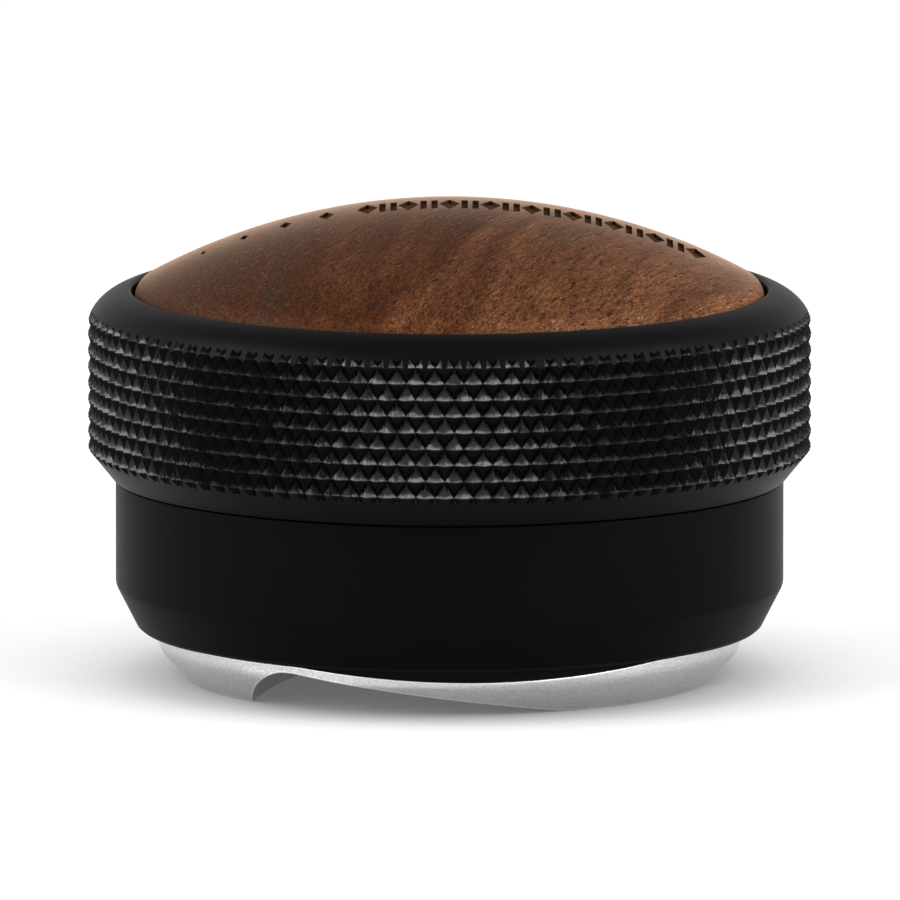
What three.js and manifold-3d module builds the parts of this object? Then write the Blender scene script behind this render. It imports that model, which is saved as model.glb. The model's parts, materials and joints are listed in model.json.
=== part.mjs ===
import * as THREE from "three";
import { mergeVertices } from "three/addons/utils/BufferGeometryUtils.js";
import Module from "manifold-3d";

const wasm = await Module();
wasm.setup();

// A palm-grip coffee tamper of the levelling kind: a three-wing steel base whose depth below
// the collar is set by turning the knurled cap. Millimetres, +Z up, front towards -Y.
// The wing tips stand on z = 0 and every turned piece is centred on x = y = 0.
// Three bodies: the base (wings, carrier, nut), the collar and the cap with its lead screw.

// ---------------------------------------------------------------- driving dimensions
const LARGE = 48; // sides of a large turned piece
const MEDIUM = 32; // sides of the nut, the lead screw and its washers
const SMALL = 12; // sides of a screw, a pin or their holes
const SLIP = 0.1; // gap between two faces that touch on the real object

// Wing base
const BASE_R = 29.2; // fits a 58 mm basket
const BASE_TOP = 4.62;
const BEVEL = [[26.4, 0], [27.6, 1.3], [28.6, 2.3], [BASE_R, 3.1]]; // from the land to the wall
const WINGS = 3;
const PITCH = 360 / WINGS;
const FIRST_TIP = -132.3; // degrees from +X, at the rim
const SWIRL = 2; // degrees that a tip line trails per mm of radius
const NOTCH_HEIGHT = 3.85; // roof of the round notch behind each tip
const NOTCH_ANGLE = 8; // degrees of the notch's quarter round
const RAMP_END = 73; // degrees after the tip where the ramp meets the flat land
const RAMP_SLOPE = 0.0612; // mm of height per degree
const HUB_R = 5; // flat centre of the underside
const HUB_Z = 1.8;
const LAND_R = 23; // the land is flat from this radius out
const DISH_POWER = 1.25;

// Shallow valleys that key the carrier on the base
const VALLEY_ANGLE = -83; // centre of the first valley, degrees from +X
const VALLEY_Z = 3.64;
const VALLEY_R = 165;
const VALLEY_INNER = 22;
const SEAT_GAP = 0.08; // the carrier sits this far above the base

// Carrier cup
const CARRIER_R = 28.2;
const CARRIER_INNER = 26.2;
const CARRIER_FLANGE_R = 28.9;
const CARRIER_FLANGE_TOP = 5.25;
const CARRIER_FLOOR = 7.75;
const CARRIER_TOP = 16.5;
const CARRIER_GROOVE = { r: 27, bottom: 12.4, top: 13.9 };
const NUT_BOSS_R = 12.8;
const NUT_BOSS_TOP = 12.6;
const NUT_BORE = 8.1;
const NUT_BORE_BOTTOM = 6;
const NUT_TOP = 14.9;
const THREAD_GAP = 0.3;

// Collar
const COLLAR_R = 33.4;
const COLLAR_BORE = 28.6;
const COLLAR_RELIEF = { r: 29.4, top: 5.4 }; // widens the bore's mouth, clear of the base
const COLLAR_FOOT = 4.98;
const COLLAR_FOOT_R = 30.9;
const COLLAR_TOE = [31.3, 5.3]; // softens the corner below the chamfer
const COLLAR_EDGE = 9.4; // top of the foot's chamfer
const WEB_BOTTOM = 16.95;
const SEAM_Z = 19.9;
const SPIGOT_R = 28.5;
const SPIGOT_BORE = 25.5;
const SPIGOT_TOP = 23.4;
const SPIGOT_GROOVE = { r: 27.2, bottom: 20.8, top: 22.2 };
const BUSH_R = 10.2;

// Knurled cap
const CAP_R = 36.2;
const CAP_FOOT = 20.08;
const CAP_FOOT_R = 33.65;
const CONE_TOP = 23.2;
const SHOULDER_Z = 35.15; // where the grip band ends and the shoulder starts
const SHOULDER_IN = 5.66; // half axes of the shoulder's quarter ellipse
const SHOULDER_UP = 4.05;
const SKIRT_BORE = 28.9;
const CAP_WEB = 24.5;
const CAP_FLOOR = 28;
const BALLAST_BORE = 26.8;
const RECESS_FLOOR = 32.35;
const RECESS_BORE = 31.75;
const RIM_R = 0.4; // rounding of the recess's lip

// Wooden dome
const DOME_R = 31.45;
const DOME_SPHERE = 63.6;
const DOME_TOP = 47.65;
const DOME_BOTTOM = 33.1;
const DOME_TURN = 29.6; // radius where the rim starts to round over
const DOME_ROLL = 2.4; // height of the rounded rim
const PAD_R = 30.5;

// Lead screw and what holds it
const THREAD_R = 5.6;
const JOURNAL_R = 8;
const SCREW_TIP = 6.4;
const JOURNAL_BOTTOM = 15.1;
const SCREW_FLANGE_R = 13;
const SCREW_FLANGE_BOTTOM = 21;
const PILOT_R = 6;
const PILOT_TOP = 27.4;
const THREAD_BEVEL = 0.6;
const RING_GROOVE = { r: 7.3, bottom: 15.55, top: 16.35 };
const RETAINING_RING = { inner: 7.45, outer: 9.8, bottom: 15.65, top: 16.25, mouth: 3 };
const LOWER_WASHER = { inner: 8.2, outer: 11, bottom: 16.35, top: 16.85 };
const UPPER_WASHER = { inner: 8.2, outer: 12.6, bottom: 20, top: 20.9 };
const COLLAR_BUSH = { inner: 8.15, outer: BUSH_R, bottom: WEB_BOTTOM, top: SEAM_Z };

// Seals
const SEAL_SECTION = 0.65;
const WIPER_SEAL = { r: 27.8, z: 13.15 };
const FRICTION_SEAL = { r: 28.1, z: 21.5 };

// Fasteners: hole and shank radii, head sizes
const M3 = { shank: 1.3, hole: 1.5, head: 2.7, sink: 2.95, headHeight: 1.5 };
const M2 = { shank: 0.85, hole: 1, head: 1.6, sink: 1.75, headHeight: 0.9 };
const BASE_SCREWS = { r: 20, angle: FIRST_TIP - 35, tip: 2.2 };
const HUB_SCREWS = { r: 9.6, angle: -90, tip: 21.8 };
const NUT_SCREWS = { r: 10.3, angle: -90, tip: 9.2 };
const TIP_GAP = 0.2; // room below a screw's tip
const PINS = { r: 22, angle: FIRST_TIP + 38, radius: 1.5, bottom: 8.4, top: 19.2 };
const PIN_SLIDE = 0.3;
const PIN_FLOOR = 8;
const PIN_BOSS_R = 3.2;
const PIN_BOSS_TOP = 16.3;

// ---------------------------------------------------------------- materials
function finish(color, roughness, metalness) {
  return new THREE.MeshStandardMaterial({ color, roughness, metalness });
}

const anodised = finish(0x17181a, 0.5, 0.6);
const steel = finish(0xb4b3b0, 0.35, 1);
const darkSteel = finish(0x55575a, 0.4, 1);
const brass = finish(0xb08d4a, 0.35, 1);
const bronze = finish(0x8c6239, 0.45, 0.9);
const walnut = finish(0x5c3a24, 0.55, 0);
const rubber = finish(0x111111, 0.9, 0);
const foam = finish(0x2b2b2b, 0.95, 0);

// ---------------------------------------------------------------- shape helpers
const radians = THREE.MathUtils.degToRad;

// Welds a three.js geometry and drops its flat triangles, so that it is one closed skin.
function solid(geometry) {
  const bare = new THREE.BufferGeometry();
  bare.setAttribute("position", geometry.getAttribute("position").clone());
  bare.setIndex(geometry.index);
  const welded = mergeVertices(bare, 1e-4);
  const index = Array.from(welded.index.array);
  const triVerts = [];
  for (let i = 0; i < index.length; i += 3) {
    const [a, b, c] = index.slice(i, i + 3);
    if (a !== b && b !== c && c !== a) triVerts.push(a, b, c);
  }
  return new wasm.Manifold(new wasm.Mesh({
    numProp: 3,
    vertProperties: new Float32Array(welded.getAttribute("position").array),
    triVerts: new Uint32Array(triVerts),
  }));
}

function piece(name, manifold, material) {
  const mesh = manifold.getMesh();
  const geometry = new THREE.BufferGeometry();
  geometry.setAttribute("position", new THREE.BufferAttribute(mesh.vertProperties, 3));
  geometry.setIndex(new THREE.BufferAttribute(mesh.triVerts, 1));
  geometry.computeVertexNormals();
  const node = new THREE.Mesh(geometry, material);
  node.name = name;
  return node;
}

// Revolves an (r, z) outline about +Z. The outline runs anticlockwise, outer side upwards.
function turned(outline, sides = LARGE) {
  const points = outline.map(([r, z]) => new THREE.Vector2(r, z));
  return solid(new THREE.LatheGeometry(points, sides).rotateX(Math.PI / 2));
}

function disc(radius, bottom, top, sides = LARGE) {
  return turned([[0, bottom], [radius, bottom], [radius, top], [0, top]], sides);
}

function washer({ inner, outer, bottom, top }) {
  const outline = [[inner, bottom], [outer, bottom], [outer, top], [inner, top], [inner, bottom]];
  return turned(outline, MEDIUM);
}

// An upright round rod standing off the axis at a radius and an angle from +X.
function rod(radius, bottom, top, place) {
  const geometry = new THREE.CylinderGeometry(radius, radius, top - bottom, SMALL);
  geometry.rotateX(Math.PI / 2);
  const angle = radians(place.angle);
  geometry.translate(place.r * Math.cos(angle), place.r * Math.sin(angle), (bottom + top) / 2);
  return solid(geometry);
}

// The places of three equal features, a third of a turn apart.
function thirds(place) {
  return [0, 1, 2].map((k) => ({ ...place, angle: place.angle + k * PITCH }));
}

function subtractAll(body, cutters) {
  return cutters.reduce((rest, cutter) => rest.subtract(cutter), body);
}

function addAll(body, additions) {
  return additions.reduce((whole, addition) => whole.add(addition), body);
}

// Points on an ellipse about (r, z), from one angle to another, both ends included.
function arc(r, z, halfR, halfZ, from, to, steps) {
  return Array.from({ length: steps + 1 }, (_, i) => {
    const angle = radians(from + ((to - from) * i) / steps);
    return [r + halfR * Math.cos(angle), z + halfZ * Math.sin(angle)];
  });
}

// A cap-head screw, head up on its seat, with a six-sided socket.
function capScrew(size, place, seat) {
  const head = rod(size.head, seat, seat + size.headHeight, place);
  const shank = rod(size.shank, place.tip, seat + SLIP, place);
  const key = new THREE.CylinderGeometry(size.head / 2, size.head / 2, size.headHeight, 6);
  key.rotateX(Math.PI / 2);
  const angle = radians(place.angle);
  const lift = seat + size.headHeight;
  key.translate(place.r * Math.cos(angle), place.r * Math.sin(angle), lift);
  return head.add(shank).subtract(solid(key));
}

// A torus-like seal with a six-sided section.
function oRing({ r, z }) {
  return turned(arc(r, z, SEAL_SECTION, SEAL_SECTION, -120, 240, 6));
}

// ---------------------------------------------------------------- base
// Height of the underside at the rim, by degrees after a tip: notch, ramp, then flat land.
function rimHeight(degrees) {
  const across = Math.min(degrees / NOTCH_ANGLE, 1);
  const notch = NOTCH_HEIGHT * Math.sqrt(1 - (1 - across) ** 2);
  const ramp = RAMP_SLOPE * (RAMP_END - degrees);
  return Math.max(0, Math.min(notch, ramp));
}

function underside(degrees, r) {
  const outward = THREE.MathUtils.clamp((r - HUB_R) / (LAND_R - HUB_R), 0, 1) ** DISH_POWER;
  return HUB_Z + (rimHeight(degrees) - HUB_Z) * outward;
}

// The space below one wing: a box bent round the axis, its lid raised to the underside.
function wingCutter(tip) {
  const overlap = 1;
  const roofEnd = RAMP_END - NOTCH_HEIGHT / RAMP_SLOPE;
  const notch = [0, 0.5, 2, 4.2, NOTCH_ANGLE];
  const stations = [...notch, roofEnd, 25, 41, 57, RAMP_END, 96, PITCH, PITCH + overlap];
  const radii = [HUB_R - 1, HUB_R, 11, 17, LAND_R, BASE_R + 1];
  const box = new THREE.BoxGeometry(1, 1, 1, stations.length - 1, radii.length - 1, 1);
  const position = box.getAttribute("position");
  for (let i = 0; i < position.count; i += 1) {
    const degrees = stations[Math.round((position.getX(i) + 0.5) * (stations.length - 1))];
    const r = radii[Math.round((position.getY(i) + 0.5) * (radii.length - 1))];
    const angle = radians(tip + degrees - SWIRL * (BASE_R - r));
    const z = position.getZ(i) > 0 ? underside(degrees, r) : -1;
    position.setXYZ(i, r * Math.cos(angle), r * Math.sin(angle), z);
  }
  // The box's X runs with the angle and its Y with the radius, which mirrors it.
  return solid(flipped(box));
}

function flipped(geometry) {
  const index = geometry.index.array;
  for (let i = 0; i < index.length; i += 3) [index[i], index[i + 1]] = [index[i + 1], index[i]];
  return geometry;
}

// A bar with a curved belly, lying along the radius: the shape of one key valley.
function valleyBar(angle, lift, inner, outer) {
  const halfAngle = 7;
  const centre = VALLEY_Z + VALLEY_R;
  const shape = new THREE.Shape();
  shape.absarc(0, centre, VALLEY_R, radians(-90 - halfAngle), radians(-90 + halfAngle), false);
  shape.closePath();
  const bar = new THREE.ExtrudeGeometry(shape, {
    depth: outer - inner, bevelEnabled: false, curveSegments: 6,
  });
  // Shape X, Y and the depth become tangent, up and radius.
  bar.rotateX(Math.PI / 2);
  bar.rotateZ(radians(180));
  bar.translate(0, inner, lift);
  bar.rotateZ(radians(angle - 90));
  return solid(bar);
}

function valleys(lift, inner, outer) {
  return thirds({ r: 0, angle: VALLEY_ANGLE }).map(({ angle }) => valleyBar(angle, lift, inner, outer));
}

function wingBase() {
  const blank = turned([[0, 0], ...BEVEL, [BASE_R, BASE_TOP], [0, BASE_TOP]]);
  const wings = thirds({ r: 0, angle: FIRST_TIP }).map(({ angle }) => wingCutter(angle));
  const hub = disc(HUB_R, -1, HUB_Z);
  const holes = thirds(BASE_SCREWS).map((place) => rod(M3.hole, place.tip - TIP_GAP, BASE_TOP + 1, place));
  return subtractAll(blank, [...wings, hub, ...valleys(0, VALLEY_INNER, BASE_R + 1), ...holes]);
}

// Black cup that slides in the collar: floor, wall with a seal groove, nut boss, pin bosses.
function baseCarrier() {
  const bottom = BASE_TOP + SEAT_GAP;
  const groove = CARRIER_GROOVE;
  const cup = turned([
    [0, VALLEY_Z], [CARRIER_FLANGE_R, VALLEY_Z], [CARRIER_FLANGE_R, CARRIER_FLANGE_TOP],
    [CARRIER_R, CARRIER_FLANGE_TOP], [CARRIER_R, groove.bottom], [groove.r, groove.bottom],
    [groove.r, groove.top], [CARRIER_R, groove.top], [CARRIER_R, CARRIER_TOP],
    [CARRIER_INNER, CARRIER_TOP], [CARRIER_INNER, CARRIER_FLOOR],
    [NUT_BOSS_R, CARRIER_FLOOR], [NUT_BOSS_R, NUT_BOSS_TOP], [NUT_BORE, NUT_BOSS_TOP],
    [NUT_BORE, NUT_BORE_BOTTOM], [0, NUT_BORE_BOTTOM],
  ]);
  const keys = valleys(SEAT_GAP, VALLEY_INNER + SLIP, BASE_R + 2);
  const seat = subtractAll(disc(BASE_R + 1, VALLEY_Z - 1, bottom), keys);
  const pinBosses = thirds(PINS).map((place) => rod(PIN_BOSS_R, CARRIER_FLOOR - 1, PIN_BOSS_TOP, place));
  const pinHoles = thirds(PINS).map((place) => rod(PINS.radius + PIN_SLIDE, PIN_FLOOR, CARRIER_TOP, place));
  const screwHoles = thirds(BASE_SCREWS).flatMap((place) => [
    rod(M3.hole, bottom - 1, CARRIER_FLOOR, place),
    rod(M3.sink, CARRIER_FLOOR - M3.headHeight - SLIP, CARRIER_FLOOR + 1, place),
  ]);
  const nutHoles = thirds(NUT_SCREWS).map((place) => (
    rod(M2.hole, place.tip - TIP_GAP, NUT_BOSS_TOP + 1, place)
  ));
  return subtractAll(addAll(cup, pinBosses), [seat, ...pinHoles, ...screwHoles, ...nutHoles]);
}

function carrierNut() {
  const bore = THREAD_R + THREAD_GAP;
  const bottom = NUT_BORE_BOTTOM + SLIP;
  const flange = { r: NUT_BOSS_R - 0.4, bottom: NUT_BOSS_TOP + SLIP };
  const body = turned([
    [bore, bottom], [NUT_BORE - SLIP, bottom], [NUT_BORE - SLIP, flange.bottom],
    [flange.r, flange.bottom], [flange.r, NUT_TOP], [bore, NUT_TOP], [bore, bottom],
  ], MEDIUM);
  const holes = thirds(NUT_SCREWS).flatMap((place) => [
    rod(M2.hole, NUT_BOSS_TOP - 1, NUT_TOP + 1, place),
    rod(M2.sink, NUT_TOP - M2.headHeight - SLIP, NUT_TOP + 1, place),
  ]);
  return subtractAll(body, holes);
}

// ---------------------------------------------------------------- collar
function depthCollar() {
  const groove = SPIGOT_GROOVE;
  const body = turned([
    [COLLAR_RELIEF.r, COLLAR_FOOT], [COLLAR_FOOT_R, COLLAR_FOOT], COLLAR_TOE, [COLLAR_R, COLLAR_EDGE],
    [COLLAR_R, SEAM_Z], [SPIGOT_R, SEAM_Z], [SPIGOT_R, groove.bottom], [groove.r, groove.bottom],
    [groove.r, groove.top], [SPIGOT_R, groove.top], [SPIGOT_R, SPIGOT_TOP],
    [SPIGOT_BORE, SPIGOT_TOP], [SPIGOT_BORE, SEAM_Z], [BUSH_R + SLIP, SEAM_Z],
    [BUSH_R + SLIP, WEB_BOTTOM], [COLLAR_BORE, WEB_BOTTOM], [COLLAR_BORE, COLLAR_RELIEF.top],
    [COLLAR_RELIEF.r, COLLAR_RELIEF.top], [COLLAR_RELIEF.r, COLLAR_FOOT],
  ]);
  const holes = thirds(PINS).map((place) => rod(PINS.radius + SLIP, WEB_BOTTOM - 1, PINS.top + SLIP, place));
  return subtractAll(body, holes);
}

// ---------------------------------------------------------------- cap
function knurledCap() {
  const centre = CAP_R - SHOULDER_IN;
  const lipR = RECESS_BORE + RIM_R;
  const lipAngle = THREE.MathUtils.radToDeg(Math.acos((lipR - centre) / SHOULDER_IN));
  const shoulder = arc(centre, SHOULDER_Z, SHOULDER_IN, SHOULDER_UP, 0, lipAngle, 5);
  const crest = shoulder[shoulder.length - 1][1];
  const lip = arc(lipR, crest - RIM_R, RIM_R, RIM_R, 120, 180, 2);
  const body = turned([
    [PILOT_R + SLIP, CAP_WEB], [SKIRT_BORE, CAP_WEB], [SKIRT_BORE, CAP_FOOT], [CAP_FOOT_R, CAP_FOOT],
    [CAP_R, CONE_TOP], ...shoulder, ...lip, [RECESS_BORE, RECESS_FLOOR], [BALLAST_BORE, RECESS_FLOOR],
    [BALLAST_BORE, CAP_FLOOR], [PILOT_R + SLIP, CAP_FLOOR], [PILOT_R + SLIP, CAP_WEB],
  ]);
  const holes = thirds(HUB_SCREWS).flatMap((place) => [
    rod(M3.hole, CAP_WEB - 1, CAP_FLOOR, place),
    rod(M3.sink, CAP_FLOOR - M3.headHeight - 2 * SLIP, CAP_FLOOR + 1, place),
  ]);
  return subtractAll(body, holes);
}

// A low sphere cap whose rim rolls over into the recess.
function woodDome() {
  const centre = DOME_TOP - DOME_SPHERE;
  const turnAngle = Math.asin(DOME_TURN / DOME_SPHERE);
  const crown = arc(0, centre, DOME_SPHERE, DOME_SPHERE, 90, 90 - THREE.MathUtils.radToDeg(turnAngle), 5);
  const edge = crown[crown.length - 1][1];
  const roll = arc(DOME_TURN, edge - DOME_ROLL, DOME_R - DOME_TURN, DOME_ROLL, 0, 60, 3);
  return turned([[0, DOME_BOTTOM], [DOME_R, DOME_BOTTOM], ...roll, ...crown.reverse()]);
}

function leadScrew() {
  const body = turned([
    [0, SCREW_TIP], [THREAD_R - THREAD_BEVEL, SCREW_TIP], [THREAD_R, SCREW_TIP + THREAD_BEVEL],
    [THREAD_R, JOURNAL_BOTTOM], [JOURNAL_R, JOURNAL_BOTTOM],
    [JOURNAL_R, RING_GROOVE.bottom], [RING_GROOVE.r, RING_GROOVE.bottom],
    [RING_GROOVE.r, RING_GROOVE.top], [JOURNAL_R, RING_GROOVE.top],
    [JOURNAL_R, SCREW_FLANGE_BOTTOM], [SCREW_FLANGE_R, SCREW_FLANGE_BOTTOM],
    [SCREW_FLANGE_R, CAP_WEB - SLIP], [PILOT_R, CAP_WEB - SLIP], [PILOT_R, PILOT_TOP], [0, PILOT_TOP],
  ], MEDIUM);
  const holes = thirds(HUB_SCREWS).map((place) => rod(M3.hole, place.tip - TIP_GAP, CAP_WEB, place));
  return subtractAll(body, holes);
}

// An open spring ring that snaps into the lead screw's groove.
function retainingRing() {
  const { inner, outer, bottom, mouth } = RETAINING_RING;
  const gap = new THREE.BoxGeometry(mouth, outer, 2).translate(0, inner + outer / 2 - 1, bottom);
  return washer(RETAINING_RING).subtract(solid(gap));
}

// ---------------------------------------------------------------- assembly
function screwSet(name, size, places, seat) {
  return thirds(places).map((place, i) => (
    piece(`${name}_${i + 1}`, capScrew(size, place, seat), darkSteel)
  ));
}

function baseGroup() {
  const group = new THREE.Group();
  group.add(
    piece("wing_base", wingBase(), steel),
    piece("base_carrier", baseCarrier(), anodised),
    piece("carrier_nut", carrierNut(), brass),
    piece("wiper_o_ring", oRing(WIPER_SEAL), rubber),
    ...screwSet("base_screw", M3, BASE_SCREWS, CARRIER_FLOOR - M3.headHeight),
    ...screwSet("nut_screw", M2, NUT_SCREWS, NUT_TOP - M2.headHeight),
  );
  return group;
}

function collarGroup() {
  const pins = thirds(PINS).map((place, i) => (
    piece(`guide_pin_${i + 1}`, rod(PINS.radius, PINS.bottom, PINS.top, place), steel)
  ));
  const group = new THREE.Group();
  group.add(
    piece("depth_collar", depthCollar(), anodised),
    piece("collar_bush", washer(COLLAR_BUSH), bronze),
    piece("lower_thrust_washer", washer(LOWER_WASHER), bronze),
    piece("friction_o_ring", oRing(FRICTION_SEAL), rubber),
    ...pins,
  );
  return group;
}

function capGroup() {
  const group = new THREE.Group();
  group.add(
    piece("knurled_cap", knurledCap(), anodised),
    piece("wood_dome", woodDome(), walnut),
    piece("dome_pad", disc(PAD_R, RECESS_FLOOR + SLIP, DOME_BOTTOM - SLIP), foam),
    piece("ballast_disc", disc(BALLAST_BORE - 0.3, CAP_FLOOR + SLIP, RECESS_FLOOR - SLIP), steel),
    piece("lead_screw", leadScrew(), steel),
    piece("retaining_ring", retainingRing(), darkSteel),
    piece("upper_thrust_washer", washer(UPPER_WASHER), bronze),
    ...screwSet("hub_screw", M3, HUB_SCREWS, CAP_FLOOR - M3.headHeight - SLIP),
  );
  return group;
}

const tamper = new THREE.Group();
tamper.add(baseGroup(), collarGroup(), capGroup());

export default tamper;
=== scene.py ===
"""The looks of the winged coffee tamper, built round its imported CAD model.

Outlines are written in millimetres and become metres where a mesh is made. The front of the
tamper faces -Y and its turning axis is x = y = 0.
"""

import json
import math

import bmesh
import bpy
import numpy as np
from mathutils import Matrix, Vector


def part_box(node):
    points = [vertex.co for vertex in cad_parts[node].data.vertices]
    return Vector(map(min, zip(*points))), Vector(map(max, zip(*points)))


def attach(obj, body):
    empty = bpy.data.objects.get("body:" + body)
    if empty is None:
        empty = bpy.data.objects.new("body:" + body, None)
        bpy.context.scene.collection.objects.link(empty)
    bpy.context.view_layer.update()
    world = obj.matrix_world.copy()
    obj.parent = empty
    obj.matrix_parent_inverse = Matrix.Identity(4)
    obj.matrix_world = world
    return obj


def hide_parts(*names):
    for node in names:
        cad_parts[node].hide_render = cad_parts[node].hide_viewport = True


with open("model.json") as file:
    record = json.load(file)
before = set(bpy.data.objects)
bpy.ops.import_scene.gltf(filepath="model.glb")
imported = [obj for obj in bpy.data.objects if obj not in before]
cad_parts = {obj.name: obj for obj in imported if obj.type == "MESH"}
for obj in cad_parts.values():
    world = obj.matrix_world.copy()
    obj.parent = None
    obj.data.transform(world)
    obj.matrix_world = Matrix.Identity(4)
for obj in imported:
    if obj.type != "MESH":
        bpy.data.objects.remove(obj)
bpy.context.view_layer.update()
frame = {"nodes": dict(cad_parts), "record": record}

MM = 0.001
FINE = 288  # sides of a visible turned surface


# ------------------------------------------------------------------ sizes taken from the frame
def size_of(node):
    """Outer radius, lowest and highest z of a turned CAD piece, in millimetres."""
    low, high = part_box(node)
    return high.x / MM, low.z / MM, high.z / MM


CAP_R, CAP_FOOT, _ = size_of("knurled_cap")
DOME_R, DOME_BOTTOM, DOME_TOP = size_of("wood_dome")
COLLAR_R, COLLAR_FOOT, SPIGOT_TOP = size_of("depth_collar")
BASE_R, _, BASE_TOP = size_of("wing_base")
FLANGE_R, KEY_BOTTOM, CARRIER_TOP = size_of("base_carrier")
HEIGHT = DOME_TOP

# ------------------------------------------------------------------ sizes of the outlines
# Cap
CAP_FOOT_R = 33.65
CONE_TOP = 23.2
SHOULDER_Z = 35.15  # centre height of the shoulder's quarter ellipse
SHOULDER_IN = 5.66
SHOULDER_UP = 4.05
LIP_R = 0.45
RECESS_BORE = 31.75
RECESS_FLOOR = 32.35
BALLAST_BORE = 26.8
CAP_FLOOR = 28.0
CAP_WEB = 24.5
SKIRT_BORE = 28.9
PILOT_BORE = 6.1
HUB_SCREWS = {"r": 9.6, "angle": -90, "hole": 1.5, "sink": 2.95, "sink_z": 26.3}

# Diamond knurl
KNURL_COUNT = 117
KNURL_TOP_ROW = 36.12
KNURL_ROW = 1.6275
KNURL_DEPTH = 0.62
KNURL_TURN = -90.8  # degrees from +X of one point in the top row
KNURL_ROWS = range(-2, 11)  # the first and last rows lie outside the knurled band
RIDGE = 0.05  # width of the worn round along each ridge
SKIN = 0.03  # a face of the cap's straight wall that lies deeper than this belongs to the knurl
FACET_LEAN = 0.1  # least sideways lean of a normal that belongs to a knurl facet
UNDER_LEAN = -0.2  # upward part of a normal below which a facet counts as an underside

# Dome
DOME_SPHERE = 63.6
DOME_TURN = 30.4  # radius where the rim starts to roll over
ENGRAVED_DEPTH = 0.32
ENGRAVED_Y = -0.8
ENGRAVED_HEIGHT = 10  # the engraving lies less than this below the crown
BORDER = {"start": -8.2, "step": 4.1, "lozenges": 9, "bar_offset": 0.55}
BORDER_LOZENGE = (1.05, 3.1)  # half its length along X and along Y
BORDER_BAR = (0.32, 2.6)
FADING = (0.75, 0.6, 0.45, 0.3)  # sizes of the lozenges that lead away to the left

# Collar
COLLAR_BORE = 28.6
COLLAR_RELIEF = {"r": 29.4, "top": 5.4}
COLLAR_TOE = (31.3, 5.3)
COLLAR_FOOT_R = 30.9
COLLAR_EDGE = 9.4
SEAM_Z = 19.9
SPIGOT_R = 28.5
SPIGOT_BORE = 25.5
SPIGOT_GROOVE = {"r": 27.2, "bottom": 20.8, "top": 22.2}
WEB_BOTTOM = 16.95
BUSH_BORE = 10.3
COLLAR_PIN_HOLE = {"r": 1.6, "bottom": 15, "top": 19.3}

# Wing base
FIRST_TIP = -132.3
SWIRL = 2
NOTCH_HEIGHT = 3.85
NOTCH_ANGLE = 8
RAMP_END = 73
RAMP_SLOPE = 0.0612
PITCH = 120
HUB_R = 5
HUB_Z = 1.8
LAND_R = 23
DISH_POWER = 1.25  # how late the hub's hollow turns into the wings
LAND_EDGE = 26.4
WALL_Z = 3.1  # the outer wall stands upright above this height
BEVEL_BOW = 0.15  # share of the bevel's width that is curved
VALLEY_ANGLE = -83
VALLEY_Z = 3.64
VALLEY_R = 165
VALLEY_INNER = 22
# The faces along these edges get a paler steel: a painted highlight along the base's edges.
EDGE_ROWS = (13, 20, 21)  # faces of a section that lie along its lower and upper edges
BASE_SCREWS = {"r": 20, "angle": FIRST_TIP - 35, "hole": 1.5, "tip": 2}
PINS = {"r": 22, "angle": FIRST_TIP + 38}

# Carrier
CARRIER_R = 28.2
CARRIER_INNER = 26.2
FLANGE_TOP = 5.25
CARRIER_FLOOR = 7.75
SEAT_GAP = 0.08  # between the base and the carrier
CARRIER_SEAT = BASE_TOP + SEAT_GAP
CARRIER_GROOVE = {"r": 27, "bottom": 12.4, "top": 13.9}
NUT_BOSS = {"r": 12.8, "top": 12.6}
NUT_BORE = {"r": 8.1, "bottom": 6}
PIN_BOSS = {"r": 3.2, "below_rim": 0.2}
PIN_BORE = {"r": 1.8, "bottom": 8}
SCREW_SINK = {"r": 2.95, "depth": 1.6}


# ------------------------------------------------------------------ mesh helpers
def mesh_object(name, points, faces):
    """An object in the row frame, from points in millimetres."""
    mesh = bpy.data.meshes.new(name)
    mesh.from_pydata([tuple(c * MM for c in p) for p in points], [], faces)
    mesh.validate()
    work = bmesh.new()
    work.from_mesh(mesh)
    bmesh.ops.recalc_face_normals(work, faces=work.faces)
    work.to_mesh(mesh)
    work.free()
    piece = bpy.data.objects.new(name, mesh)
    bpy.context.scene.collection.objects.link(piece)
    return piece


def smooth(piece, angle=28):
    """Smooth shading that stays sharp at every edge bent by more than the angle, in degrees."""
    piece.data.shade_smooth()
    piece.data.set_sharp_from_angle(angle=math.radians(angle))


def apply_modifiers(piece):
    graph = bpy.context.evaluated_depsgraph_get()
    graph.update()
    mesh = bpy.data.meshes.new_from_object(piece.evaluated_get(graph))
    piece.modifiers.clear()
    piece.data = mesh
    mesh.name = piece.name


def boolean(piece, other, operation="DIFFERENCE"):
    """Cuts, joins or trims the piece by another one, which is used up."""
    modifier = piece.modifiers.new("boolean", "BOOLEAN")
    modifier.operation = operation
    modifier.solver = "MANIFOLD"
    modifier.object = other
    apply_modifiers(piece)
    bpy.data.objects.remove(other)


def arc(r, z, half_r, half_z, start, end, steps):
    """Points on an ellipse about (r, z), between two angles in degrees, both ends included."""
    turns = [math.radians(start + (end - start) * i / steps) for i in range(steps + 1)]
    return [(r + half_r * math.cos(t), z + half_z * math.sin(t)) for t in turns]


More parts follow.
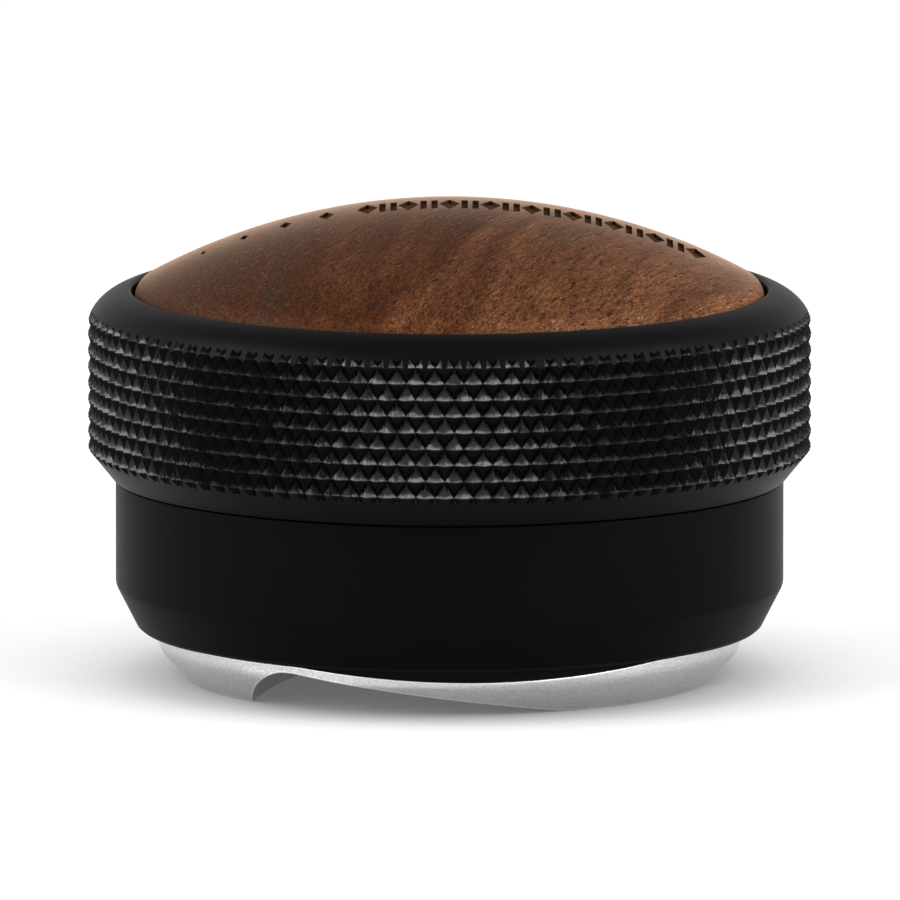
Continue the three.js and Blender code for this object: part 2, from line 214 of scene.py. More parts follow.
def rounded(corners, steps=4):
    """A closed outline whose corners (r, z, radius) are rounded. A plain (r, z) stays sharp."""
    outline = []
    for i, corner in enumerate(corners):
        here = Vector(corner[:2])
        if len(corner) < 3:
            outline.append(tuple(here))
            continue
        back = (Vector(corners[i - 1][:2]) - here).normalized()
        ahead = (Vector(corners[(i + 1) % len(corners)][:2]) - here).normalized()
        half = back.angle(ahead) / 2
        centre = here + (back + ahead).normalized() * corner[2] / math.sin(half)
        first = here + back * corner[2] / math.tan(half) - centre
        last = here + ahead * corner[2] / math.tan(half) - centre
        for s in range(steps + 1):
            spoke = first.lerp(last, s / steps).normalized() * corner[2]
            outline.append(tuple(centre + spoke))
    return outline


def revolve(name, outline, sides=FINE):
    """Turns an (r, z) outline about the axis. It ends on the axis or closes on itself."""
    points = []
    rings = []
    for r, z in outline:
        if r < 1e-6:
            rings.append([len(points)] * sides)
            points.append((0, 0, z))
            continue
        rings.append(list(range(len(points), len(points) + sides)))
        turns = np.arange(sides) * 2 * math.pi / sides
        points += [(r * math.cos(t), r * math.sin(t), z) for t in turns]
    faces = []
    for ring, after in zip(rings, rings[1:] + rings[:1]):
        if ring[0] == ring[1] and after[0] == after[1]:
            continue
        for i in range(sides):
            k = (i + 1) % sides
            faces.append(list(dict.fromkeys((ring[i], ring[k], after[k], after[i]))))
    return mesh_object(name, points, faces)


def cylinder(radius, bottom, top, sides=24):
    return revolve("cutter", [(0, bottom), (radius, bottom), (radius, top), (0, top)], sides)


def polar(r, turn, z):
    return (r * math.cos(turn), r * math.sin(turn), z)


def thirds(angle):
    """Three angles in radians, a third of a turn apart."""
    return [math.radians(angle + PITCH * k) for k in range(3)]


def move_out(piece, turn, distance):
    """Moves the piece's mesh away from the axis, towards a turn in radians."""
    piece.data.transform(Matrix.Translation(Vector(polar(distance, turn, 0)) * MM))


def drill(piece, place, radius, bottom, top):
    """Cuts three upright round holes, a third of a turn apart."""
    for turn in thirds(place["angle"]):
        rod = cylinder(radius, bottom, top)
        move_out(rod, turn, place["r"])
        boolean(piece, rod)


# ------------------------------------------------------------------ material helpers
def material(name):
    """A new node material: its tree and its Principled shader."""
    made = bpy.data.materials.new(name)
    made.use_nodes = True
    return made, made.node_tree, made.node_tree.nodes["Principled BSDF"]


def node(tree, kind, inputs=None, **settings):
    """Adds a node. An input is a value, or a socket of another node to link."""
    made = tree.nodes.new(kind)
    for key, value in settings.items():
        setattr(made, key, value)
    for key, value in (inputs or {}).items():
        if isinstance(value, bpy.types.NodeSocket):
            tree.links.new(value, made.inputs[key])
        else:
            made.inputs[key].default_value = value
    return made


def ramp(tree, factor, stops):
    """A colour ramp through (position, grey or colour) stops."""
    made = node(tree, "ShaderNodeValToRGB", {"Fac": factor})
    while len(made.color_ramp.elements) < len(stops):
        made.color_ramp.elements.new(0.5)
    for element, (position, colour) in zip(made.color_ramp.elements, stops):
        grey = (colour,) * 3 if isinstance(colour, (int, float)) else colour
        element.position = position
        element.color = (*grey, 1)
    return made.outputs["Color"]


def object_point(tree, stretch=(1, 1, 1), turn=0):
    """Object coordinates, turned about Z by degrees and then stretched."""
    place = node(tree, "ShaderNodeTexCoord").outputs["Object"]
    turned = node(tree, "ShaderNodeVectorRotate", {"Vector": place, "Angle": math.radians(turn)},
                  rotation_type="Z_AXIS")
    scaled = node(tree, "ShaderNodeVectorMath", {0: turned.outputs[0], 1: stretch}, operation="MULTIPLY")
    return scaled.outputs[0]


def noise(tree, vector, scale, detail, roughness=0.55):
    made = node(tree, "ShaderNodeTexNoise", {
        "Vector": vector, "Scale": scale, "Detail": detail, "Roughness": roughness,
    })
    return made.outputs["Fac"]


def blend(tree, factor, first, second, mode="MIX"):
    made = node(tree, "ShaderNodeMix", {0: factor, 6: first, 7: second}, data_type="RGBA", blend_type=mode)
    return made.outputs[2]


def remap(tree, value, low, high):
    made = node(tree, "ShaderNodeMapRange", {"Value": value, "To Min": low, "To Max": high})
    return made.outputs[0]


def bump(tree, height, distance):
    made = node(tree, "ShaderNodeBump", {"Height": height, "Distance": distance, "Strength": 1.0})
    return made.outputs[0]


# ------------------------------------------------------------------ materials
WOOD_GRAIN_TURN = -67  # degrees that bring the grain onto the X axis
WOOD_DARK = (0.036, 0.0145, 0.0060)
WOOD_MID = (0.042, 0.0112, 0.0020)
WOOD_LIGHT = (0.118, 0.0450, 0.0180)
WOOD_PORE = (0.008, 0.003, 0.0015)
TABLE_GLOW = 0.62
TABLE_ALBEDO = 0.38


def metal(name, colour, roughness, grain=9000.0, depth=2e-6):
    """Bare metal with a fine blasted grain and slightly uneven polish."""
    made, tree, shader = material(name)
    fine = noise(tree, object_point(tree), grain, 2.0)
    cloud = noise(tree, object_point(tree), 160.0, 3.0)
    shader.inputs["Metallic"].default_value = 1.0
    dark = tuple(c * 0.88 for c in colour)
    polish = blend(tree, cloud, (*dark, 1), (*colour, 1))
    mottled = blend(tree, 1.0, polish, ramp(tree, fine, [(0.3, 0.8), (0.7, 1.0)]), "MULTIPLY")
    tree.links.new(mottled, shader.inputs["Base Color"])
    tree.links.new(remap(tree, cloud, roughness - 0.06, roughness + 0.06), shader.inputs["Roughness"])
    tree.links.new(bump(tree, fine, depth), shader.inputs["Normal"])
    return made


def anodised(name, colour, roughness, ior):
    """Black anodised aluminium with a fine blasted grain."""
    made, tree, shader = material(name)
    blasted = noise(tree, object_point(tree), 7000.0, 3.0)
    cloud = noise(tree, object_point(tree), 140.0, 3.0)
    low = tuple(c * 0.7 for c in colour)
    tree.links.new(blend(tree, cloud, (*low, 1), (*colour, 1)), shader.inputs["Base Color"])
    tree.links.new(remap(tree, cloud, roughness - 0.04, roughness + 0.04), shader.inputs["Roughness"])
    tree.links.new(bump(tree, blasted, 2e-6), shader.inputs["Normal"])
    shader.inputs["IOR"].default_value = ior
    return made


def knurl_facets(name, valley_ior, ridge_ior):
    """The knurl's facets: black, glossier towards the ridge below and torn into upright streaks."""
    made, tree, shader = material(name)
    streaks = noise(tree, object_point(tree, (3200, 3200, 900)), 1.0, 3.0, 0.6)
    waves = noise(tree, object_point(tree), 700.0, 2.0)
    torn = node(tree, "ShaderNodeMath", {0: waves, 1: 2.2, 2: streaks}, operation="MULTIPLY_ADD").outputs[0]
    shader.inputs["Base Color"].default_value = (0.0008, 0.0008, 0.0009, 1)
    tree.links.new(remap(tree, streaks, 0.1, 0.34), shader.inputs["Roughness"])
    tree.links.new(bump(tree, torn, 6e-5), shader.inputs["Normal"])
    height = node(tree, "ShaderNodeSeparateXYZ", {0: object_point(tree)}).outputs["Z"]
    rows = node(tree, "ShaderNodeMapRange", {
        "Value": height, "From Min": KNURL_TOP_ROW * MM, "From Max": (KNURL_TOP_ROW - KNURL_ROW) * MM,
    }, clamp=False).outputs[0]
    fall = node(tree, "ShaderNodeMath", {0: rows}, operation="FRACT").outputs[0]
    shift = remap(tree, waves, -0.5, 0.5)
    uneven = node(tree, "ShaderNodeMath", {0: shift, 1: fall}, operation="ADD").outputs[0]
    gloss = ramp(tree, uneven, [(0.2, 0.0), (0.75, 0.14), (0.96, 1.0)])
    tree.links.new(remap(tree, gloss, valley_ior, ridge_ior), shader.inputs["IOR"])
    return made


def walnut():
    """Oiled walnut: growth bands, fibres, short dark pores and a paler sanded rim."""
    made, tree, shader = material("walnut")
    along = WOOD_GRAIN_TURN
    wander = noise(tree, object_point(tree, (12, 55, 55), along), 1.0, 3.0)
    bands_at = node(tree, "ShaderNodeVectorMath", {
        0: object_point(tree, (6, 250, 150), along),
        1: node(tree, "ShaderNodeVectorMath", {0: wander, 1: (0, 5, 3)}, operation="MULTIPLY").outputs[0],
    }, operation="ADD").outputs[0]
    bands = noise(tree, bands_at, 1.0, 4.0, 0.62)
    fibres = noise(tree, object_point(tree, (150, 3000, 3000), along), 1.0, 5.0, 0.7)
    speckle = noise(tree, object_point(tree, (1900, 5200, 5200), along), 1.0, 2.0)
    pores = ramp(tree, noise(tree, object_point(tree, (420, 3000, 3000), along), 1.0, 2.0, 0.5),
                 [(0.60, 0.0), (0.64, 1.0)])
    # Paler towards the right: partly the wood's own lighter side, partly painted light for the more brightly
    # lit right side of the dome.
    across = node(tree, "ShaderNodeSeparateXYZ", {0: object_point(tree, turn=along)}).outputs["Y"]
    paler_side_and_light = node(tree, "ShaderNodeMapRange", {
        "Value": across, "From Min": 0.026, "From Max": -0.03, "To Min": -0.16, "To Max": 0.24,
    }).outputs[0]
    calm = remap(tree, bands, 0.15, 0.85)
    tone = node(tree, "ShaderNodeMath", {0: calm, 1: paler_side_and_light}, operation="ADD").outputs[0]
    wood = ramp(tree, tone, [(0.28, WOOD_DARK), (0.5, WOOD_MID), (0.76, WOOD_LIGHT)])
    wood = blend(tree, 0.85, wood, ramp(tree, fibres, [(0.32, 0.3), (0.5, 0.8), (0.68, 1.45)]), "MULTIPLY")
    wood = blend(tree, 0.8, wood, ramp(tree, speckle, [(0.32, 0.4), (0.5, 0.9), (0.68, 1.7)]), "MULTIPLY")
    pore_dark = node(tree, "ShaderNodeMath", {0: pores, 1: 0.8}, operation="MULTIPLY").outputs[0]
    wood = blend(tree, pore_dark, wood, (*WOOD_PORE, 1))
    out = node(tree, "ShaderNodeVectorMath", {0: object_point(tree, (1, 1, 0))}, operation="LENGTH")
    rim = node(tree, "ShaderNodeMapRange", {
        "Value": out.outputs["Value"],
        "From Min": (DOME_TURN - 0.7) * MM, "From Max": (DOME_TURN + 0.2) * MM,
        "To Min": 0.0, "To Max": 0.3,
    }).outputs[0]
    wood = blend(tree, rim, wood, blend(tree, 1.0, wood, (2.2, 2.3, 2.4, 1), "MULTIPLY"))
    tree.links.new(wood, shader.inputs["Base Color"])
    tree.links.new(remap(tree, fibres, 0.5, 0.7), shader.inputs["Roughness"])
    relief = node(tree, "ShaderNodeMath", {0: fibres, 1: pores}, operation="SUBTRACT").outputs[0]
    tree.links.new(bump(tree, relief, 1.6e-5), shader.inputs["Normal"])
    shader.inputs["IOR"].default_value = 1.17
    shader.inputs["Sheen Weight"].default_value = 0.6
    shader.inputs["Sheen Roughness"].default_value = 0.2
    shader.inputs["Sheen Tint"].default_value = (1.0, 0.66, 0.46, 1)
    return made


def burnt_wood():
    """The floor and walls of the engraving, browned by the cutter."""
    made, tree, shader = material("burnt_wood")
    fibres = noise(tree, object_point(tree, (260, 3000, 3000), WOOD_GRAIN_TURN), 1.0, 3.0)
    tree.links.new(ramp(tree, fibres, [(0.3, (0.018, 0.008, 0.004)), (0.7, (0.060, 0.028, 0.013))]),
                   shader.inputs["Base Color"])
    tree.links.new(bump(tree, fibres, 4e-5), shader.inputs["Normal"])
    shader.inputs["Roughness"].default_value = 0.85
    shader.inputs["IOR"].default_value = 1.15
    return made


def rubber(name, colour, grain, depth):
    made, tree, shader = material(name)
    specks = noise(tree, object_point(tree), grain, 3.0)
    pale = tuple(c * 1.6 for c in colour)
    tree.links.new(blend(tree, specks, (*colour, 1), (*pale, 1)), shader.inputs["Base Color"])
    tree.links.new(remap(tree, specks, 0.7, 0.95), shader.inputs["Roughness"])
    tree.links.new(bump(tree, specks, depth), shader.inputs["Normal"])
    return made


def light_table():
    """The studio table: matt white acrylic that glows softly as if lit from below, darkened by painted shadow
    close to the tamper.
    """
    made, tree, shader = material("light_table")
    haze = ramp(tree, noise(tree, object_point(tree), 60.0, 3.0), [(0.3, 0.985), (0.7, 1.0)])
    # Painted shadow: ambient occlusion darkens the table's colour and its glow close to the tamper.
    nearby = node(tree, "ShaderNodeAmbientOcclusion", {"Distance": 0.02}, samples=12).outputs["AO"]
    painted_shade = ramp(tree, nearby, [(0.0, 0.2), (0.4, 0.54), (0.7, 0.88), (0.95, 1.0)])
    painted_shade = blend(tree, 1.0, haze, painted_shade, "MULTIPLY")
    lit = blend(tree, 1.0, painted_shade, (TABLE_ALBEDO, TABLE_ALBEDO, TABLE_ALBEDO, 1), "MULTIPLY")
    tree.links.new(lit, shader.inputs["Base Color"])
    tree.links.new(painted_shade, shader.inputs["Emission Color"])
    shader.inputs["Emission Strength"].default_value = TABLE_GLOW
    shader.inputs["Roughness"].default_value = 1.0
    shader.inputs["Specular IOR Level"].default_value = 0.0
    return made


MATERIALS = {
    "satin_steel": metal("satin_steel", (0.68, 0.68, 0.68), 0.38, 3400.0, 5e-5),
    # Paler steel along the base's lower and upper edges: a painted highlight.
    "steel_edge_highlight": metal("steel_edge_highlight", (0.9, 0.9, 0.9), 0.34, 3400.0, 1e-5),
    "black_anodised": anodised("black_anodised", (0.0028, 0.0028, 0.0029), 0.42, 1.13),
    "collar_anodised": anodised("collar_anodised", (0.0024, 0.0024, 0.0025), 0.42, 1.085),
    "knurl_cut": knurl_facets("knurl_cut", 1.12, 1.5),
    # A darker copy of the knurl finish, with a duller ridge, for the facets that face down: painted shade.
    "knurl_painted_shade": knurl_facets("knurl_painted_shade", 1.12, 1.16),
    "burnt_wood": burnt_wood(),
    "brass": metal("brass", (0.66, 0.45, 0.17), 0.3),
    "bronze": metal("bronze", (0.48, 0.29, 0.14), 0.45, 5000.0, 6e-6),
    "screw_steel": metal("screw_steel", (0.22, 0.22, 0.23), 0.32),
    "walnut": walnut(),
    "seal_rubber": rubber("seal_rubber", (0.012, 0.012, 0.012), 900.0, 1e-5),
    "adhesive_pad": rubber("adhesive_pad", (0.03, 0.03, 0.03), 2500.0, 4e-5),
}


def dress(piece, *slots):
    piece.data.materials.clear()
    for slot in slots:
        piece.data.materials.append(MATERIALS[slot])


# ------------------------------------------------------------------ knurled cap
def cap_outline():
    centre = CAP_R - SHOULDER_IN
    crest_at = math.degrees(math.acos((RECESS_BORE + LIP_R - centre) / SHOULDER_IN))
    shoulder = arc(centre, SHOULDER_Z, SHOULDER_IN, SHOULDER_UP, 0, crest_at, 26)
    crest = shoulder[-1][1]
    lip = arc(RECESS_BORE + LIP_R, crest - LIP_R, LIP_R, LIP_R, 100, 180, 6)
    return rounded([
        (PILOT_BORE, CAP_WEB), (SKIRT_BORE, CAP_WEB), (SKIRT_BORE, CAP_FOOT, 0.1),
        (CAP_FOOT_R, CAP_FOOT, 0.14), (CAP_R, CONE_TOP), *shoulder, *lip,
        (RECESS_BORE, RECESS_FLOOR), (BALLAST_BORE, RECESS_FLOOR),
        (BALLAST_BORE, CAP_FLOOR), (PILOT_BORE, CAP_FLOOR),
    ])


def knurl_blank():
    """A rod covered in four-sided points: points and pits take turns, like a chessboard."""
    sides = 2 * KNURL_COUNT
    turns = [math.radians(KNURL_TURN) + math.pi * m / KNURL_COUNT for m in range(sides)]
    pit_r = CAP_R - KNURL_DEPTH
    points = []
    for k in KNURL_ROWS:
        for m, turn in enumerate(turns):
            r = CAP_R if (m + k) % 2 == 0 else pit_r
            points.append((r * math.cos(turn), r * math.sin(turn), KNURL_TOP_ROW - KNURL_ROW * k))
    faces = []
    for i in range(len(KNURL_ROWS) - 1):
        for m in range(sides):
            n = (m + 1) % sides
            a, b = i * sides + m, i * sides + n
            c, d = a + sides, b + sides
            pit_first = (m + KNURL_ROWS[i]) % 2 != 0
            faces += [(a, d, b), (a, c, d)] if pit_first else [(a, c, b), (b, c, d)]
    first, last = list(range(sides)), list(range(len(points) - sides, len(points)))
    top, bottom = len(points), len(points) + 1
    points += [(0, 0, HEIGHT), (0, 0, CAP_FOOT - 5)]
    for m in range(sides):
        n = (m + 1) % sides
        faces += [(first[m], first[n], top), (last[n], last[m], bottom)]
    blank = mesh_object("knurl_blank", points, faces)
    wear_ridges(blank, pit_r)
    return blank


def wear_ridges(blank, pit_r):
    """Breaks the ridges between the points and their pits, as anodising and handling do."""
    work = bmesh.new()
    work.from_mesh(blank.data)
    middle = (CAP_R + pit_r) / 2 * MM
    ridges = []
    for edge in work.edges:
        radii = [v.co.xy.length for v in edge.verts]
        if min(radii) > pit_r * MM * 0.99 and min(radii) < middle < max(radii):
            ridges.append(edge)
    bmesh.ops.bevel(work, geom=ridges, offset=RIDGE * MM, segments=2, affect="EDGES", clamp_overlap=True)
    work.to_mesh(blank.data)
    work.free()


def knurled_cap():
    cap = revolve("knurled_grip_cap", cap_outline())
    boolean(cap, knurl_blank(), "INTERSECT")
    drill(cap, HUB_SCREWS, HUB_SCREWS["hole"], CAP_WEB - 1, CAP_FLOOR)
    drill(cap, HUB_SCREWS, HUB_SCREWS["sink"], HUB_SCREWS["sink_z"], CAP_FLOOR + 1)
    smooth(cap, 16)
    dress(cap, "black_anodised", "knurl_cut", "knurl_painted_shade")
    for face in cap.data.polygons:
        x, y, z = face.center / MM
        r = math.hypot(x, y)
        if r < SKIRT_BORE or z > KNURL_TOP_ROW + KNURL_ROW:
            continue
        sideways = abs(face.normal.x * y - face.normal.y * x) / r
        if sideways > FACET_LEAN or CONE_TOP < z < SHOULDER_Z and r < CAP_R - SKIN:
            # Facets that face down take the darker copy of the knurl finish: painted shade.
            face.material_index = 2 if face.normal.z < UNDER_LEAN else 1
    return cap


# ------------------------------------------------------------------ wooden dome
def dome_outline():
    """A sphere cap whose rim rolls over on a circle that is tangent to the sphere."""
    centre = DOME_TOP - DOME_SPHERE
    slope = math.asin(DOME_TURN / DOME_SPHERE)
    crown = arc(0, centre, DOME_SPHERE, DOME_SPHERE, 90 - math.degrees(slope), 90, 60)
    roll_r = (DOME_R - DOME_TURN) / (1 - math.sin(slope))
    roll_z = crown[0][1] - roll_r * math.cos(slope)
    roll = arc(DOME_R - roll_r, roll_z, roll_r, roll_r, 0, 90 - math.degrees(slope), 14)
    crown[-1] = (0, DOME_TOP)
    return [(0, DOME_BOTTOM), (DOME_R, DOME_BOTTOM), *roll, *crown[1:]]


def prism(outline):
    """An upright cutter through the dome's skin, from a plan outline."""
    count = len(outline)
    low, high = DOME_TOP - ENGRAVED_HEIGHT - 2, DOME_TOP + 5
    points = [(x, y, low) for x, y in outline] + [(x, y, high) for x, y in outline]
    sides = [(i, (i + 1) % count, (i + 1) % count + count, i + count) for i in range(count)]
    return mesh_object("cutter", points, [tuple(range(count)), tuple(range(count, 2 * count)), *sides])


def lozenge(x, half_x, half_y):
    y = ENGRAVED_Y
    return [(x - half_x, y), (x, y - half_y), (x + half_x, y), (x, y + half_y)]


def bar(x, half_x, half_y):
    left, right = x - half_x, x + half_x
    near, far = ENGRAVED_Y - half_y, ENGRAVED_Y + half_y
    return [(left, near), (right, near), (right, far), (left, far)]


def ornament():
    """Plan outlines of the engraved border: lozenges and pairs of bars, then smaller lozenges."""
    shapes = []
    for i in range(BORDER["lozenges"]):
        x = BORDER["start"] + BORDER["step"] * i
        shapes.append(lozenge(x, *BORDER_LOZENGE))
        if i < BORDER["lozenges"] - 1:
            middle = x + BORDER["step"] / 2
            shapes += [bar(middle + side * BORDER["bar_offset"], *BORDER_BAR) for side in (-1, 1)]
    for i, size in enumerate(FADING):
        x = BORDER["start"] - BORDER["step"] * (i + 1)
        shapes.append(lozenge(x, *(half * size for half in BORDER_LOZENGE)))
    return shapes


def wood_dome():
    dome = revolve("walnut_dome", dome_outline())
    centre = DOME_TOP - DOME_SPHERE
    core_r = DOME_SPHERE - ENGRAVED_DEPTH
    for outline in ornament():
        cutter = prism(outline)
        core = revolve("core", [(0, centre), *arc(0, centre, core_r, core_r, 60, 90, 60)[:-1],
                                (0, centre + core_r)], 96)
        boolean(cutter, core)
        boolean(dome, cutter)
    smooth(dome, 24)
    dress(dome, "walnut", "burnt_wood")
    skin = DOME_SPHERE - 0.04
    for face in dome.data.polygons:
        x, y, z = face.center / MM
        inside = math.hypot(x, y) < DOME_TURN and z > DOME_TOP - ENGRAVED_HEIGHT
        if inside and math.sqrt(x * x + y * y + (z - centre) ** 2) < skin:
            face.material_index = 1
    return dome


# ------------------------------------------------------------------ collar
def depth_collar():
    groove = SPIGOT_GROOVE
    collar = revolve("depth_collar_body", rounded([
        (COLLAR_RELIEF["r"], COLLAR_FOOT, 0.08), (COLLAR_FOOT_R, COLLAR_FOOT, 0.2), (*COLLAR_TOE, 0.4),
        (COLLAR_R, COLLAR_EDGE, 1.6), (COLLAR_R, SEAM_Z, 0.14), (SPIGOT_R, SEAM_Z),
        (SPIGOT_R, groove["bottom"]), (groove["r"], groove["bottom"]), (groove["r"], groove["top"]),
        (SPIGOT_R, groove["top"]), (SPIGOT_R, SPIGOT_TOP, 0.2), (SPIGOT_BORE, SPIGOT_TOP),
        (SPIGOT_BORE, SEAM_Z), (BUSH_BORE, SEAM_Z), (BUSH_BORE, WEB_BOTTOM), (COLLAR_BORE, WEB_BOTTOM),
        (COLLAR_BORE, COLLAR_RELIEF["top"], 0.1), (COLLAR_RELIEF["r"], COLLAR_RELIEF["top"]),
    ], 6))
    hole = COLLAR_PIN_HOLE
    drill(collar, PINS, hole["r"], hole["bottom"], hole["top"])
    smooth(collar)
    dress(collar, "collar_anodised")
    return collar


# ------------------------------------------------------------------ carrier
def valley_bar(turn, lift, inner, outer):
    """A bar along the radius with a curved belly: the shape of one key valley."""
    centre = VALLEY_Z + VALLEY_R + lift
    belly = arc(0, centre, VALLEY_R, VALLEY_R, -97, -83, 48)
    count = len(belly)
    points = [(x, -inner, z) for x, z in belly] + [(x, -outer, z) for x, z in belly]
    sides = [(i, (i + 1) % count, (i + 1) % count + count, i + count) for i in range(count)]
    made = mesh_object("cutter", points, [tuple(range(count)), tuple(range(count, 2 * count)), *sides])
    made.data.transform(Matrix.Rotation(turn + math.pi / 2, 4, "Z"))
    return made


def base_carrier():
    groove = CARRIER_GROOVE
    carrier = revolve("base_carrier_cup", rounded([
        (0, KEY_BOTTOM), (FLANGE_R, KEY_BOTTOM), (FLANGE_R, FLANGE_TOP, 0.15), (CARRIER_R, FLANGE_TOP),
        (CARRIER_R, groove["bottom"]), (groove["r"], groove["bottom"]), (groove["r"], groove["top"]),
        (CARRIER_R, groove["top"]), (CARRIER_R, CARRIER_TOP, 0.2), (CARRIER_INNER, CARRIER_TOP, 0.2),
        (CARRIER_INNER, CARRIER_FLOOR, 0.4), (NUT_BOSS["r"], CARRIER_FLOOR), (NUT_BOSS["r"], NUT_BOSS["top"]),
        (NUT_BORE["r"], NUT_BOSS["top"]), (NUT_BORE["r"], NUT_BORE["bottom"]), (0, NUT_BORE["bottom"]),
    ]))
    seat = cylinder(BASE_R + 1, KEY_BOTTOM - 1, CARRIER_SEAT, FINE)
    for turn in thirds(VALLEY_ANGLE):
        boolean(seat, valley_bar(turn, SEAT_GAP, VALLEY_INNER + 0.1, BASE_R + 2))
    boolean(carrier, seat)
    for turn in thirds(PINS["angle"]):
        boss = cylinder(PIN_BOSS["r"], CARRIER_FLOOR - 1, CARRIER_TOP - PIN_BOSS["below_rim"])
        move_out(boss, turn, PINS["r"])
        boolean(carrier, boss, "UNION")
    drill(carrier, PINS, PIN_BORE["r"], PIN_BORE["bottom"], CARRIER_TOP)
    drill(carrier, BASE_SCREWS, BASE_SCREWS["hole"], CARRIER_SEAT - 1, CARRIER_FLOOR)
    drill(carrier, BASE_SCREWS, SCREW_SINK["r"], CARRIER_FLOOR - SCREW_SINK["depth"], CARRIER_FLOOR + 1)
    smooth(carrier)
    dress(carrier, "black_anodised")
    return carrier


# ------------------------------------------------------------------ winged steel base
def rim_height(degrees):
    """Height of the underside at the rim, by degrees after a tip: notch, ramp, then flat land."""
    across = min(max(degrees, 0) / NOTCH_ANGLE, 1)
    notch = NOTCH_HEIGHT * math.sqrt(max(0, 1 - (1 - across) ** 2))
    return max(0, min(notch, RAMP_SLOPE * (RAMP_END - degrees)))


def underside(degrees, r):
    outward = min(max((r - HUB_R) / (LAND_R - HUB_R), 0), 1) ** DISH_POWER
    return HUB_Z + (rim_height(degrees) - HUB_Z) * outward


def wall_radius(z):
    """Radius of the outer wall: upright above, and drawn in by a long curved bevel below."""
    below = min(max((WALL_Z - z) / WALL_Z, 0), 1)
    return BASE_R - (BASE_R - LAND_EDGE) * ((1 - BEVEL_BOW) * below + BEVEL_BOW * below ** 2)


def top_height(turn, r):
    if r < VALLEY_INNER:
        return BASE_TOP
    nearest = min(abs(math.remainder(turn - v, 2 * math.pi)) for v in thirds(VALLEY_ANGLE))
    across = r * math.sin(min(nearest, math.pi / 2))
    return min(BASE_TOP, VALLEY_Z + across ** 2 / (2 * VALLEY_R))


def wing_stations():
    """Degrees after a tip at which the base is sampled, closer together round the notch."""
    spokes = (0, 4, 12, 24, 36, 48, 60, 72, 84)
    quarter = [NOTCH_ANGLE * (1 - math.cos(math.radians(spoke))) for spoke in spokes]
    roof_end = RAMP_END - NOTCH_HEIGHT / RAMP_SLOPE
    ramps = list(np.linspace(roof_end + 1, RAMP_END - 2, 17))
    land = list(np.linspace(RAMP_END, PITCH - 3, 12))
    return [*quarter, NOTCH_ANGLE, roof_end - 1, roof_end, *ramps, *land, PITCH - 1, PITCH - 0.3]


def base_column(tip, degrees):
    """Points of one section of the base: out along the underside, up the wall, in along the top."""
    rim_z = rim_height(degrees)
    rim_r = wall_radius(rim_z)
    inner = (1.5, 4, HUB_R, 6.5, 8.5, 11, 14, 17, 20, LAND_R, 24.5, rim_r - 0.6, rim_r - 0.2, rim_r)
    column = []
    for r in inner:
        turn = tip + math.radians(degrees - SWIRL * (BASE_R - r))
        column.append(polar(r, turn, underside(degrees, r)))
    rise = top_height(turn, BASE_R) - rim_z
    middle = [0.3 + (rise - 0.6) * s for s in (0.25, 0.5, 0.75)]
    for h in (0.18, 0.34, *middle, rise - 0.3, rise - 0.14, rise):
        column.append(polar(wall_radius(rim_z + h), turn, rim_z + h))
    outer = (BASE_R - 0.12, BASE_R - 0.4, 27.5, 25, 23)
    ledge = [VALLEY_INNER + offset for offset in (0.2, 0, -0.05, -0.3)]
    for r in (*outer, *ledge, 19, 14, 8, 3):
        column.append(polar(r, turn, top_height(turn, r)))
    return column


def wing_base():
    columns = [base_column(tip, degrees) for tip in thirds(FIRST_TIP) for degrees in wing_stations()]
    rows = len(columns[0])
    points = [point for column in columns for point in column]
    below, above = len(points), len(points) + 1
    points += [(0, 0, HUB_Z), (0, 0, BASE_TOP)]
    faces = []
    for i in range(len(columns)):
        here, there = i * rows, (i + 1) % len(columns) * rows
        faces += [(here + k, here + k + 1, there + k + 1, there + k) for k in range(rows - 1)]
        faces += [(below, here, there), (above, there + rows - 1, here + rows - 1)]
    base = mesh_object("winged_steel_base", points, faces)
    # Faces along the lower and upper edges take the paler steel: a painted highlight.
    edge_highlight = [1 if k in EDGE_ROWS else 0 for k in range(rows + 1)] * len(columns)
    base.data.polygons.foreach_set("material_index", edge_highlight)
    base.modifiers.new("subdivision", "SUBSURF").levels = 2
    apply_modifiers(base)
    drill(base, BASE_SCREWS, BASE_SCREWS["hole"], BASE_SCREWS["tip"], BASE_TOP + 1)
    smooth(base, 40)
    edge_highlight = [face.material_index for face in base.data.polygons]
    dress(base, "satin_steel", "steel_edge_highlight")
    base.data.polygons.foreach_set("material_index", edge_highlight)
    return base


# ------------------------------------------------------------------ camera, light and floor
# Metres and degrees. Azimuths run from the front towards the right.
CAMERA_TARGET = Vector((0.00004, 0, 0.02265))
CAMERA_RISE = 8.5
CAMERA_DISTANCE = 3.0
SOFTBOX = {"rise": 32, "distance": 0.9, "width": 0.95, "height": 0.8, "power": 12}
FLOOR_HALF = 3000  # millimetres, like FLOOR_Z
FLOOR_Z = -0.01


def aim(thing, place, target):
    thing.location = place
    thing.rotation_euler = (Vector(target) - Vector(place)).to_track_quat("-Z", "Y").to_euler()


def camera():
    data = bpy.data.cameras.new("camera")
    data.sensor_width = 36
    data.lens = 1200
    data.clip_end = 20
    view = bpy.data.objects.new("camera", data)
    bpy.context.scene.collection.objects.link(view)
    rise = math.radians(CAMERA_RISE)
    offset = Vector((0, -math.cos(rise), math.sin(rise))) * CAMERA_DISTANCE
    aim(view, CAMERA_TARGET + offset, CAMERA_TARGET)
    bpy.context.scene.camera = view


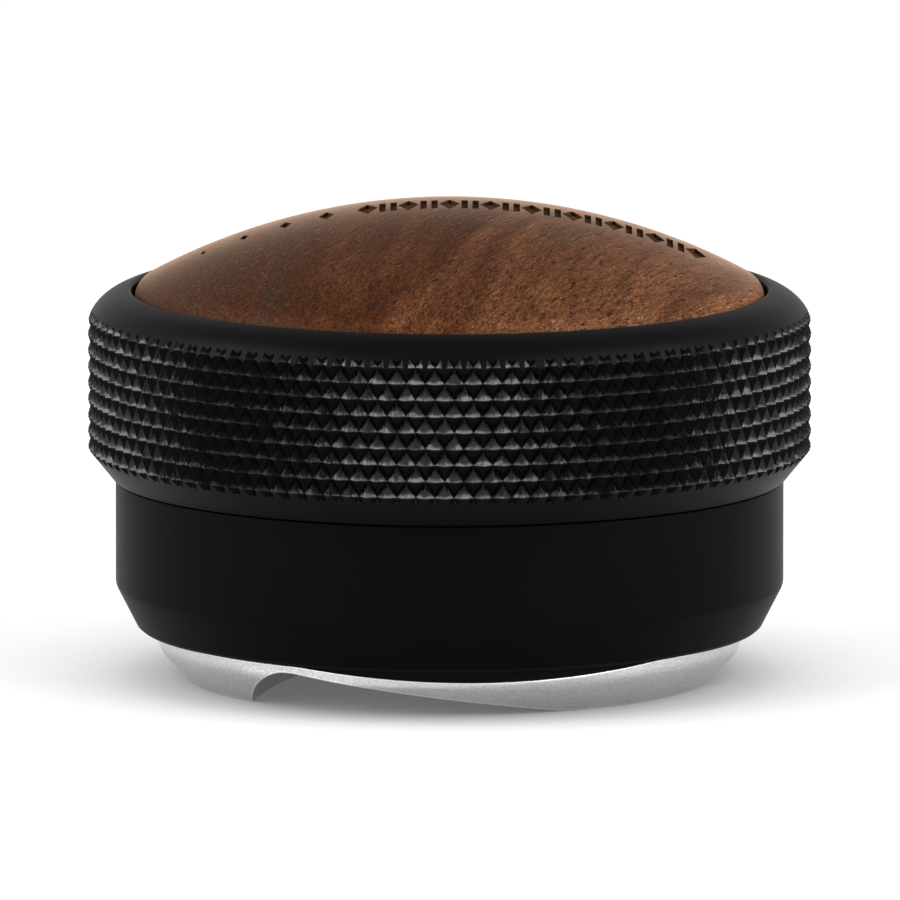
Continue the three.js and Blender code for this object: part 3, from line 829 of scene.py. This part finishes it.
def softbox(name, azimuth):
    """A soft rectangular light, aimed at the middle of the tamper."""
    data = bpy.data.lights.new(name, "AREA")
    data.shape = "RECTANGLE"
    data.size, data.size_y = SOFTBOX["width"], SOFTBOX["height"]
    data.energy = SOFTBOX["power"]
    light = bpy.data.objects.new(name, data)
    bpy.context.scene.collection.objects.link(light)
    a, e = math.radians(azimuth), math.radians(SOFTBOX["rise"])
    place = Vector((math.sin(a) * math.cos(e), -math.cos(a) * math.cos(e), math.sin(e)))
    middle = Vector((0, 0, HEIGHT * MM / 2))
    aim(light, place * SOFTBOX["distance"] + middle, middle)
    light.visible_camera = False


def stage():
    half = FLOOR_HALF
    corners = [(x, y, FLOOR_Z) for x, y in ((-half, -half), (half, -half), (half, half), (-half, half))]
    floor = mesh_object("floor", corners, [(0, 1, 2, 3)])
    floor.data.materials.append(light_table())
    world = bpy.data.worlds.new("studio")
    world.use_nodes = True
    tree = world.node_tree
    direction = node(tree, "ShaderNodeTexCoord").outputs["Generated"]
    rise = node(tree, "ShaderNodeSeparateXYZ", {0: direction}).outputs["Z"]
    glow = ramp(tree, rise, [(0.0, 0.9), (0.2, 0.9), (0.6, 0.4), (0.9, 0.15)])
    tree.links.new(glow, tree.nodes["Background"].inputs["Color"])
    bpy.context.scene.world = world
    softbox("left_softbox", -75)
    softbox("right_softbox", 66)
    bpy.context.scene.view_settings.view_transform = "Standard"


# ------------------------------------------------------------------ assembly
BUILT = (
    (wing_base, "base", "wing_base", "satin_steel"),
    (base_carrier, "base", "base_carrier", "black_anodised"),
    (depth_collar, "collar", "depth_collar", "black_anodised"),
    (knurled_cap, "cap", "knurled_cap", "black_anodised"),
    (wood_dome, "cap", "wood_dome", "walnut"),
)
for build, body, cad_node, slot in BUILT:
    piece = build()
    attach(piece, body)
    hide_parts(cad_node)

replaced = {entry[2] for entry in BUILT}
for part in frame["record"]["subparts"]:
    if part["node"] not in replaced:
        dress(frame["nodes"][part["node"]], part["material_slot"])

camera()
stage()
